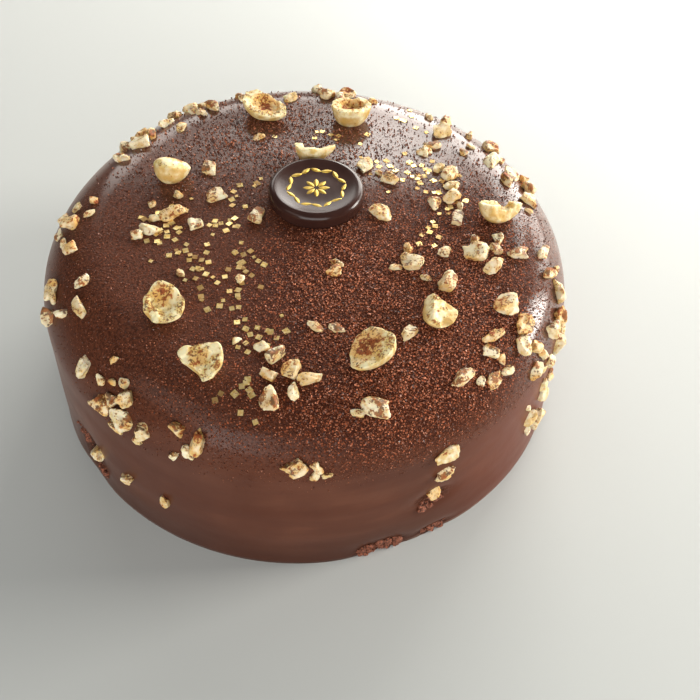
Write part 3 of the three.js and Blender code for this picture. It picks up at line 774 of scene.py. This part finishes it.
def glazed_cake():
    """Whole outside of the cake as one closed skin, with its ripples, strokes and broken places."""
    rings = []
    for start, end in ((0, FLAT_RADIUS), (FLAT_RADIUS, WALL_START), (WALL_START, FOOT_REACH)):
        steps = round((end - start) / GLAZE_STEP)
        rings.extend(start + (end - start) * (i + 1) / steps for i in range(steps))
    bearings = np.arange(GLAZE_BEARINGS) * 360 / GLAZE_BEARINGS
    reach, bearing = [grid.ravel() for grid in np.meshgrid(rings, bearings, indexing="ij")]
    spots, _ = glaze_at(bearing, reach)
    on_wall = np.clip((reach - WALL_START) / SHOULDER_ARC + 0.5, 0, 1)
    bare = np.clip(broken_away(bearing, reach, BROKEN_PLACES).max(axis=0) * BARE_GAIN - BARE_START, 0, 1)
    stroke_spots = np.stack([np.radians(bearing) * WALL_RADIUS / STROKE_LENGTH,
                             spots[:, 2] / STROKE_WIDTH, np.zeros(len(reach))], axis=1)
    lift = RIPPLE_HEIGHT * rippled(spots, RIPPLE_SIZE, RIPPLE_FINE_SIZE, FINE_SHARE, 1)
    lift = lift * (1 - on_wall) + STROKE_HEIGHT * on_wall * ripple(stroke_spots, 1, 3)
    lift += BREAK_ROUGHNESS * bare * rippled(spots, BREAK_SIZE, BREAK_FINE_SIZE, BREAK_FINE_SHARE, 4)
    points, _ = glaze_at(bearing, reach, lift)
    points[-GLAZE_BEARINGS:, 2] = 0
    points = np.concatenate([points, [glaze_at(0, 0)[0], (0, 0, 0)]])
    faces = ring_faces(len(rings), GLAZE_BEARINGS)
    film = film_cover(bearing, reach)
    spread = {"cocoa": cocoa_cover(bearing, reach), "bare": bare, "film": film,
              # The foot layer is painted shade, darker towards the foot of the wall.
              "gloss": glaze_gloss(spots, reach, film), "foot": eased(spots[:, 2], *FOOT_PAINTED_SHADE),
              # This layer on the right of the wall is painted light, a warmer tint for the light falling
              # there.
              "painted_warm_light": eased(spots[:, 0], *PAINTED_WARM_SIDE) * eased(reach, *PAINTED_WARM_REACH)}
    at_top = {"cocoa": cocoa_cover(np.zeros(1), np.zeros(1))[0], "film": 1, "gloss": 1 - FILM_DULLS}
    layers = {name: np.append(values, (at_top.get(name, 0), 0)) for name, values in spread.items()}
    cake = make_piece("glazed_cake", points, faces, glaze_finish(), layers)
    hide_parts("cake")


def turned(profile, segments):
    """Points and faces of a closed shape turned from a profile that goes down from axis to axis."""
    angles = np.arange(segments) * 2 * np.pi / segments
    inner = np.array(profile[1:-1])
    points = np.stack([np.outer(inner[:, 0], np.cos(angles)), np.outer(inner[:, 0], np.sin(angles)),
                       np.outer(inner[:, 1], np.ones(segments))], axis=-1).reshape(-1, 3)
    points = np.concatenate([points, [(0, 0, profile[0][1]), (0, 0, profile[-1][1])]])
    return points, ring_faces(len(inner), segments)


def disc_face(radius):
    """Height of the disc's dished face at a radius."""
    return DISC_HEIGHT - DISC_DISH * (1 - (radius / (DISC_RADIUS - DISC_EDGE)) ** DISC_FLATNESS)


def chocolate_disc():
    """Moulded disc, turned from a profile with rounded edges and a dished face."""
    turns = [i / DISC_STEPS * math.pi / 2 for i in range(DISC_STEPS + 1)]
    profile = [(0, -DISC_SINK)]
    for turn in turns:
        radius = DISC_RADIUS - DISC_FOOT * (1 - math.sin(turn))
        profile.append((radius, DISC_FOOT * (1 - math.cos(turn)) - DISC_SINK * math.cos(turn)))
    for turn in turns:
        radius = DISC_RADIUS - DISC_EDGE * (1 - math.cos(turn))
        profile.append((radius, DISC_HEIGHT - DISC_EDGE * (1 - math.sin(turn))))
    for i in range(1, DISC_STEPS + 1):
        radius = (DISC_RADIUS - DISC_EDGE) * (1 - i / DISC_STEPS)
        profile.append((radius, disc_face(radius)))
    points, faces = turned(profile[::-1], DISC_SEGMENTS)
    points[:, 2] += DISC_RIPPLE_HEIGHT * ripple(points, DISC_RIPPLE_SIZE, 6)
    seat, normal = top_at(DISC_RIGHT, DISC_BACK)
    points = seat + normal * DISC_GAP + points @ stand_on(normal, 0, 0).T
    disc = make_piece("dark_chocolate_disc", points, faces, dark_chocolate_finish())
    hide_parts("chocolate_disc")


def gold_leaf(length, width):
    """Leaf that lies along +X, pointed at both ends, raised along its rib and closed underneath."""
    along = np.linspace(-0.5, 0.5, LEAF_POINTS)
    half = width / 2 * (1 - (2 * along) ** 2)
    rise = GOLD_RISE * (1 - (2 * along) ** 4)
    points = []
    for share, side, lift in zip(along, half, rise):
        points.extend([(share * length, -side, 0), (share * length, 0, lift), (share * length, side, 0)])
    faces = []
    for step in range(len(along) - 1):
        here = 3 * step
        faces.extend([(here, here + 3, here + 4, here + 1), (here + 1, here + 4, here + 5, here + 2)])
        faces.append((here, here + 2, here + 5, here + 3))
    return np.array(points), np.array(faces)


def gold_wreath():
    """Ring of gold leaves round a rosette, painted on the face of the disc."""
    seat, normal = top_at(DISC_RIGHT, DISC_BACK)
    stand = stand_on(normal, 0, 0)
    parts = []
    rows = [(WREATH_LEAVES, WREATH_RADIUS, LEAF_LENGTH, LEAF_WIDTH, 90, LEAF_LEAN),
            (ROSETTE_PETALS, PETAL_OUT, PETAL_LENGTH, PETAL_WIDTH, 0, 0)]
    for count, radius, length, width, turn, lean in rows:
        for number in range(count):
            angle = 360 * number / count
            spin = math.radians(angle + turn + (lean if number % 2 else -lean))
            leaf, faces = gold_leaf(length, width)
            out = radius * np.array((math.cos(math.radians(angle)), math.sin(math.radians(angle)), 0))
            lie = np.array(Matrix.Rotation(spin, 3, "Z"))
            points = leaf @ lie.T + out
            points[:, 2] += DISC_GAP + disc_face(np.hypot(points[:, 0], points[:, 1]))
            parts.append((seat + points @ stand.T, faces))
    points, faces, _ = joined(parts)
    gold_paint = gold_finish("gold_paint", colour(196, 160, 62), colour(222, 190, 92), 0.6)
    layers = {"dull_and_shaded": np.zeros(len(points))}
    make_piece("gold_wreath", points, faces, gold_paint, layers)


def skin_of(field, low, step):
    """Points and quads of the closed skin where a field on a grid turns from inside, below 0, to outside."""
    cells = np.array(field.shape) - 1
    inside = field < 0
    sums = np.zeros((*cells, 3))
    hits = np.zeros(cells)
    for axis, first, second in itertools.product(range(3), (0, 1), (0, 1)):
        corner = np.insert((first, second), axis, 0)
        near = [slice(start, start + count) for start, count in zip(corner, cells)]
        far = list(near)
        far[axis] = slice(1, 1 + cells[axis])
        here, there = field[tuple(near)], field[tuple(far)]
        crossed = (here < 0) != (there < 0)
        share = np.where(crossed, here / np.where(crossed, here - there, 1), 0)
        spot = np.zeros((*cells, 3)) + corner
        spot[..., axis] += share
        sums += spot * crossed[..., None]
        hits += crossed
    on_skin = hits > 0
    points = low + step * (np.argwhere(on_skin) + sums[on_skin] / hits[on_skin][:, None])
    number = np.full(cells, -1)
    number[on_skin] = np.arange(len(points))
    quads = []
    for axis in range(3):
        one, two = np.eye(3, dtype=int)[(axis + 1) % 3], np.eye(3, dtype=int)[(axis + 2) % 3]
        count = field.shape[axis]
        edges = np.argwhere(inside.take(range(count - 1), axis) != inside.take(range(1, count), axis))
        quad = np.stack([number[tuple((edges - back).T)] for back in (0 * one, one, one + two, two)], axis=1)
        from_outside = ~inside[tuple(edges.T)]
        quad[from_outside] = quad[from_outside][:, ::-1]
        quads.append(quad)
    return points, np.concatenate(quads)


def kernel_size(nut):
    """Half the length, half the width and the depth of a kernel."""
    return nut["length"] / 2 * MM, nut["width"] / 2 * MM, nut["depth"] * MM


def kernel_field(nut, spots, seed):
    """Inside, below 0, and outside of a half kernel with its cut face up and its point along +X."""
    x, y, z = spots.T
    half, side, depth = kernel_size(nut)
    slim = 1 - nut["taper"] * x / half
    tall = np.where(z > 0, max(nut["crown"] * MM, NUT_STEP), depth)
    dome = (np.sqrt((x / half) ** 2 + (y / side / slim) ** 2 + (z / tall / slim) ** 2) - 1) * min(side, depth)
    rough = CUT_ROUGHNESS * rippled(spots, CUT_SIZE, CUT_FINE_SIZE, FINE_SHARE, seed)
    rim = RIM_ROUGHNESS * np.exp(-(z / RIM_BAND) ** 2)
    dome += SKIN_ROUGHNESS * ripple(spots, SKIN_SIZE, seed + 2)
    walls = [dome + rim * ripple(spots, RIM_SIZE, seed + 3)]
    if not nut["crown"]:
        walls.append(z + rough)
    if nut["hollow"]:
        deep = nut["hollow"] * depth
        scoop = np.sqrt((x / half / HOLLOW_SPAN) ** 2 + (y / side / HOLLOW_SPAN) ** 2 + (z / deep) ** 2)
        walls.append((1 - scoop) * deep + rough)
    for turn, out, slant in nut["chips"]:
        turn, slant = math.radians(turn), math.radians(slant)
        level = x * math.cos(turn) + y * math.sin(turn)
        walls.append(level * math.cos(slant) + z * math.sin(slant) - out * half + rough)
    for turn, out, size in nut["bites"]:
        middle = out * half * np.array((math.cos(math.radians(turn)), math.sin(math.radians(turn)), 0))
        walls.append(size / 2 * MM - np.linalg.norm(spots - middle, axis=1) + rough)
    return NUT_EDGE * np.logaddexp.reduce(np.array(walls) / NUT_EDGE, axis=0)


def hazelnut_half(nut, seed, finish):
    """Half kernel with rough cut faces, tipped and turned as it fell, bedded in the glaze."""
    half, side, depth = kernel_size(nut)
    stout = 1 + nut["taper"]
    reach = np.array((half, side * stout, depth * stout)) + NUT_MARGIN
    low = -reach
    high = reach * (1, 1, 0) + (0, 0, nut["crown"] * MM * stout + NUT_MARGIN)
    counts = np.ceil((high - low) / NUT_STEP).astype(int) + 1
    grid = np.stack(np.meshgrid(*[np.arange(count) for count in counts], indexing="ij"), axis=-1)
    field = kernel_field(nut, low + NUT_STEP * grid.reshape(-1, 3), seed).reshape(counts)
    local, faces = skin_of(field, low, NUT_STEP)
    seat, normal = top_at(nut["right"] * MM, nut["back"] * MM)
    lean_axis = math.radians(nut["lean_to"] + 90)
    turn = UP.rotation_difference(Vector(normal))
    turn = turn @ Quaternion((math.cos(lean_axis), math.sin(lean_axis), 0), math.radians(nut["lean"]))
    turn = turn @ Quaternion(UP, math.radians(nut["point"]))
    points = local @ np.array(turn.to_matrix()).T
    points += seat - normal * ((points @ normal).min() + nut["sink"] * MM)
    along, across, share = nut["heart"]
    heart = mound(local[:, 0] / half - along, local[:, 1] / side - across, share)
    dip = mound(local[:, 0] / half, local[:, 1] / side, HOLLOW_SPAN)
    on_face = np.clip(1 + (local[:, 2] + nut["hollow"] * depth * dip) / FACE_BAND, 0, 1)
    layers = {"toast": nut["browning"] * heart * on_face,
              "specks": nut["specks"] * (SKIN_SPECKS + (1 - SKIN_SPECKS) * on_face),
              "skin": 1 - on_face}
    piece = make_piece("nut_" + nut["name"], points, faces, finish, layers)
    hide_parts("hazelnut_" + nut["name"])


def hazelnut_halves():
    finish = hazelnut_finish("hazelnut_half", colour(241, 231, 188), colour(221, 192, 114))
    for number, nut in enumerate(NUTS):
        hazelnut_half(nut, NUT_SEED + NUT_SEED_STEP * number, finish)


def large_pieces():
    """Room that the disc and the nut halves take up."""
    rooms = [{"point": top_at(DISC_RIGHT, DISC_BACK)[0], "size": 2 * (DISC_RADIUS + KEEP_OFF)}]
    for nut in NUTS:
        widest = max(nut["length"], nut["width"] * (1 + nut["taper"])) * MM
        rooms.append({"point": top_at(nut["right"] * MM, nut["back"] * MM)[0], "size": widest + 2 * KEEP_OFF})
    return rooms


def scatter(bunches, seed, clear, shape_of, keep_off, last=FOOT_REACH):
    """Pieces drawn bunch by bunch up to the last reach, each clear of the others and of what it keeps off."""
    draw = draws(seed)
    found = []
    for middle, ring, along, across, count in bunches:
        for _ in range(count):
            shape = shape_of(draw)
            for _ in range(PLACE_TRIES):
                reach = (ring + across * (next(draw) + next(draw) - 1)) * MM
                reach = min(reach, last - shape["size"])
                aside = along * (next(draw) + next(draw) - 1) * MM
                bearing = (middle + math.degrees(aside / outline_at(reach)[0])) % 360
                point, normal = glaze_at(bearing, reach)
                others = keep_off + found
                apart = [np.linalg.norm(other["point"] - point) for other in others]
                room = [(other["size"] + shape["size"]) / 2 + clear for other in others]
                if np.all(np.array(apart) >= room):
                    found.append({**shape, "point": point, "normal": normal})
                    break
    return found


def nib_shape(draw):
    """Length, width and spin of a chopped piece, and its mean size."""
    length = NIB_SHORT + (NIB_LONG - NIB_SHORT) * next(draw) ** NIB_SKEW
    width = length * (NIB_SLIM + (NIB_STOUT - NIB_SLIM) * next(draw))
    return {"length": length, "width": width, "spin": 180 * next(draw), "size": (length + width) / 2}


def flake_shapes(small, large):
    """Rule that draws the size and spin of a flake between two sizes."""
    return lambda draw: {"size": small + (large - small) * next(draw), "spin": 90 * next(draw)}


def crumb_shape(draw):
    return {"size": CRUMB_SMALL + (CRUMB_LARGE - CRUMB_SMALL) * next(draw) ** CRUMB_SKEW}


def nib_places():
    return scatter(NIB_BUNCHES, NIB_SEED, 0, nib_shape, large_pieces())


def flake_places():
    """The flakes of the solids, then the smaller ones."""
    taken = large_pieces() + nib_places()
    wider = []
    for middle, ring, along, across, count in FLAKE_BUNCHES:
        spread = (along * SMALL_FLAKE_SPREAD, across * SMALL_FLAKE_SPREAD)
        wider.append((middle, ring, *spread, round(count * SMALL_FLAKE_SHARE)))
    flakes = scatter(FLAKE_BUNCHES, FLAKE_SEED, FLAKE_CLEAR, flake_shapes(*FLAKE_SIZES), taken)
    small = scatter(wider, FLAKE_SEED + 2, SMALL_FLAKE_CLEAR, flake_shapes(*SMALL_FLAKE_SIZES), taken)
    return flakes + small


def hazelnut_nibs():
    """Chopped hazelnut, each piece shaped by its own cuts and turned as it fell."""
    balls = {small: ball(3 if small else 4) for small in (True, False)}
    chance = np.random.default_rng(NIB_SEED)
    parts, toast = [], []
    for number, nib in enumerate(nib_places()):
        normal, size, width = nib["normal"], nib["size"], nib["width"]
        directions, faces = balls[size < NIB_FINE]
        draw = draws(NIB_SEED + 1 + number)
        lump = bitten(chopped_lump(draw, directions, NIB_EDGE), directions, chance)
        tilt = NIB_TILT * (2 * next(draw) - 1)
        full = np.array((nib["length"], width, NIB_HEIGHT * width))
        coarse, fine = NIB_ROUGH_SIZES
        rough = NIB_ROUGHNESS * (ripple(lump, coarse, number) + ripple(lump, fine, number + FINE_SEED))
        browned = chance.normal(size=3)
        side = directions @ browned / np.linalg.norm(browned)
        even, browning = chance.uniform(0, NIB_TOAST), chance.uniform(0, NIB_BROWNING)
        toast.append(even + browning * np.clip(2.5 * side - 1.2, 0, 1))
        lump = lump * (1 + rough[:, None]) * full / 2 / NIB_FILL
        foot = nib["point"] + normal * NIB_RISE * size
        parts.append((foot + lump @ stand_on(normal, nib["spin"], tilt).T, faces))
    points, faces, owner = joined(parts)
    layers = {"toast": np.concatenate(toast), "specks": chance.uniform(*NIB_SPECKS, len(parts))[owner],
              "skin": chance.uniform(0, NIB_SKIN, len(parts))[owner]}
    finish = hazelnut_finish("chopped_hazelnut", colour(242, 232, 200), colour(222, 196, 136))
    nut = make_piece("hazelnut_nibs", points, faces, finish, layers)
    nut.data.set_sharp_from_angle(angle=math.radians(NIB_CREASE))


def gold_flakes():
    """Thin squares of gold leaf that settled on the glaze."""
    tilts = draws(FLAKE_SEED + 1)
    corners = np.array(list(itertools.product((-0.5, 0.5), repeat=3)))
    faces = [(0, 1, 3, 2), (4, 6, 7, 5), (0, 4, 5, 1), (2, 3, 7, 6), (0, 2, 6, 4), (1, 5, 7, 3)]
    parts = []
    for flake in flake_places():
        normal, size = flake["normal"], flake["size"]
        tilt = FLAKE_TILT * (2 * next(tilts) - 1)
        square = corners * (size, size, FLAKE_THICK)
        foot = flake["point"] + normal * FLAKE_RISE
        parts.append((foot + square @ stand_on(normal, flake["spin"], tilt).T, faces))
    points, faces, owner = joined(parts)
    # Dull flakes, rougher and with painted shade, drawn at random.
    dull_and_shaded = np.random.default_rng(FLAKE_SEED).uniform(0, 1, len(parts))
    leaf = gold_finish("gold_leaf", colour(236, 198, 110), colour(255, 234, 174), 0.75)
    layers = {"dull_and_shaded": 0.8 * dull_and_shaded[owner] ** 2}
    make_piece("gold_flakes", points, faces, leaf, layers, smooth=False)


def sponge_crumbs():
    """Crumbs of the sponge, where the glaze broke away."""
    directions, faces = ball(3)
    parts = []
    crumbs = scatter(CRUMB_BUNCHES, CRUMB_SEED, -CRUMB_OVERLAP, crumb_shape, [], math.inf)
    for number, crumb in enumerate(crumbs):
        lump = chopped_lump(draws(CRUMB_SEED + 1 + number), directions, CRUMB_EDGE)
        rough = CRUMB_ROUGHNESS * ripple(lump, CRUMB_ROUGH_SIZE, number)
        rough += CRUMB_FINE_ROUGHNESS * ripple(lump, CRUMB_FINE_SIZE, number + FINE_SEED)
        piece = crumb["point"] + lump * (1 + rough)[:, None] * crumb["size"] / 2
        piece[:, 2] = np.maximum(piece[:, 2], 0)
        parts.append((piece, faces))
    points, faces, _ = joined(parts)
    make_piece("sponge_crumbs", points, faces, crumb_finish())


def cocoa_dust():
    """Grains of cocoa, thickest where most was sifted."""
    chance = np.random.default_rng(COCOA_SEED)
    bearing = chance.uniform(0, 360, COCOA_TRIES)
    reach = chance.uniform(0, COCOA_FRONT_REACH, COCOA_TRIES)
    keep = outline_at(reach)[0] / WALL_RADIUS * cocoa_cover(bearing, reach)
    landed = np.flatnonzero(chance.uniform(0, 1, len(reach)) < keep)[:COCOA_GRAINS]
    seats, normals = glaze_at(bearing[landed], reach[landed])
    count = len(landed)
    cover = cocoa_cover(bearing[landed], reach[landed])
    sizes = COCOA_SMALL + (COCOA_LARGE - COCOA_SMALL) * chance.uniform(0, 1, count) ** 2
    at_back = eased(seats[:, 1], *COCOA_BACK)
    sizes *= 1 + (1 - cover) * (COCOA_COARSE * at_back - COCOA_FINER * (1 - at_back))
    turn, _ = np.linalg.qr(chance.normal(size=(count, 3, 3)))
    corners = np.array([(1, 1, 1), (1, -1, -1), (-1, 1, -1), (-1, -1, 1)]) / math.sqrt(3)
    stretch = chance.uniform(*COCOA_STRETCH, (count, 4, 1))
    grains = np.einsum("nij,kj->nki", turn, corners) * stretch * sizes[:, None, None] / 2
    points = (seats + normals * COCOA_RISE * sizes[:, None])[:, None] + grains
    faces = np.array([(0, 1, 2), (0, 3, 1), (0, 2, 3), (1, 3, 2)])
    flip = np.linalg.det(turn) < 0
    all_faces = faces[None] + 4 * np.arange(count)[:, None, None]
    all_faces[flip] = all_faces[flip][..., ::-1]
    bright = 0.5 + 0.5 * cover
    shade = np.repeat(chance.uniform(0, 1, count) ** COCOA_SKEW * bright, 4)
    make_piece("cocoa_dust", points.reshape(-1, 3), all_faces.reshape(-1, 3), cocoa_finish(),
               {"shade": shade}, smooth=False)


def floor():
    """Plain pale floor."""
    finish = Finish("pale_floor")
    drift = finish.clouds(finish.place(), 0.6, 2)
    tone = finish.blend(drift, colour(188, 192, 190), colour(194, 198, 196))
    mesh = bpy.data.meshes.new("floor")
    corners = [(x * FLOOR_HALF, y * FLOOR_HALF, 0) for x, y in ((-1, -1), (1, -1), (1, 1), (-1, 1))]
    mesh.from_pydata(corners, [], [(0, 1, 2, 3)])
    mesh.materials.append(finish.done(Base_Color=tone, Roughness=0.55))
    put("floor", mesh)


def lights():
    for name, (bearing, elevation, distance, width, height, watts, tint) in LIGHTS.items():
        light = bpy.data.lights.new(name, "AREA")
        light.shape = "RECTANGLE"
        light.size = width
        light.size_y = height
        light.energy = watts
        light.color = tint
        lamp = put(name, light)
        level = math.cos(math.radians(elevation))
        away = Vector((level * math.cos(math.radians(bearing)), level * math.sin(math.radians(bearing)),
                       math.sin(math.radians(elevation))))
        lamp.location = TOP_HEIGHT * UP + distance * away
        lamp.rotation_euler = away.to_track_quat("Z", "Y").to_euler()
    room = bpy.data.worlds.new("room")
    room.use_nodes = True
    glow = room.node_tree.nodes["Background"].inputs
    glow["Color"].default_value = (1, 1, 1, 1)
    glow["Strength"].default_value = ROOM_LIGHT
    bpy.context.scene.world = room
    bpy.context.scene.view_settings.view_transform = "Standard"


def camera():
    lens = bpy.data.cameras.new("photo_camera")
    lens.sensor_width = SENSOR_WIDTH
    lens.lens = SENSOR_WIDTH * FOCAL_PIXELS / PHOTO_SIDE
    viewer = put("photo_camera", lens)
    forward = (CAMERA_AIM - CAMERA_PLACE).normalized()
    level = forward.cross(UP).normalized()
    above = level.cross(forward)
    roll = math.radians(CAMERA_ROLL)
    right = math.cos(roll) * level + math.sin(roll) * above
    upright = math.cos(roll) * above - math.sin(roll) * level
    turn = Matrix((right, upright, -forward)).transposed()
    viewer.matrix_world = Matrix.Translation(CAMERA_PLACE) @ turn.to_4x4()
    bpy.context.scene.camera = viewer


camera()
lights()
floor()
glazed_cake()
chocolate_disc()
gold_wreath()
hazelnut_halves()
hazelnut_nibs()
gold_flakes()
sponge_crumbs()
cocoa_dust()
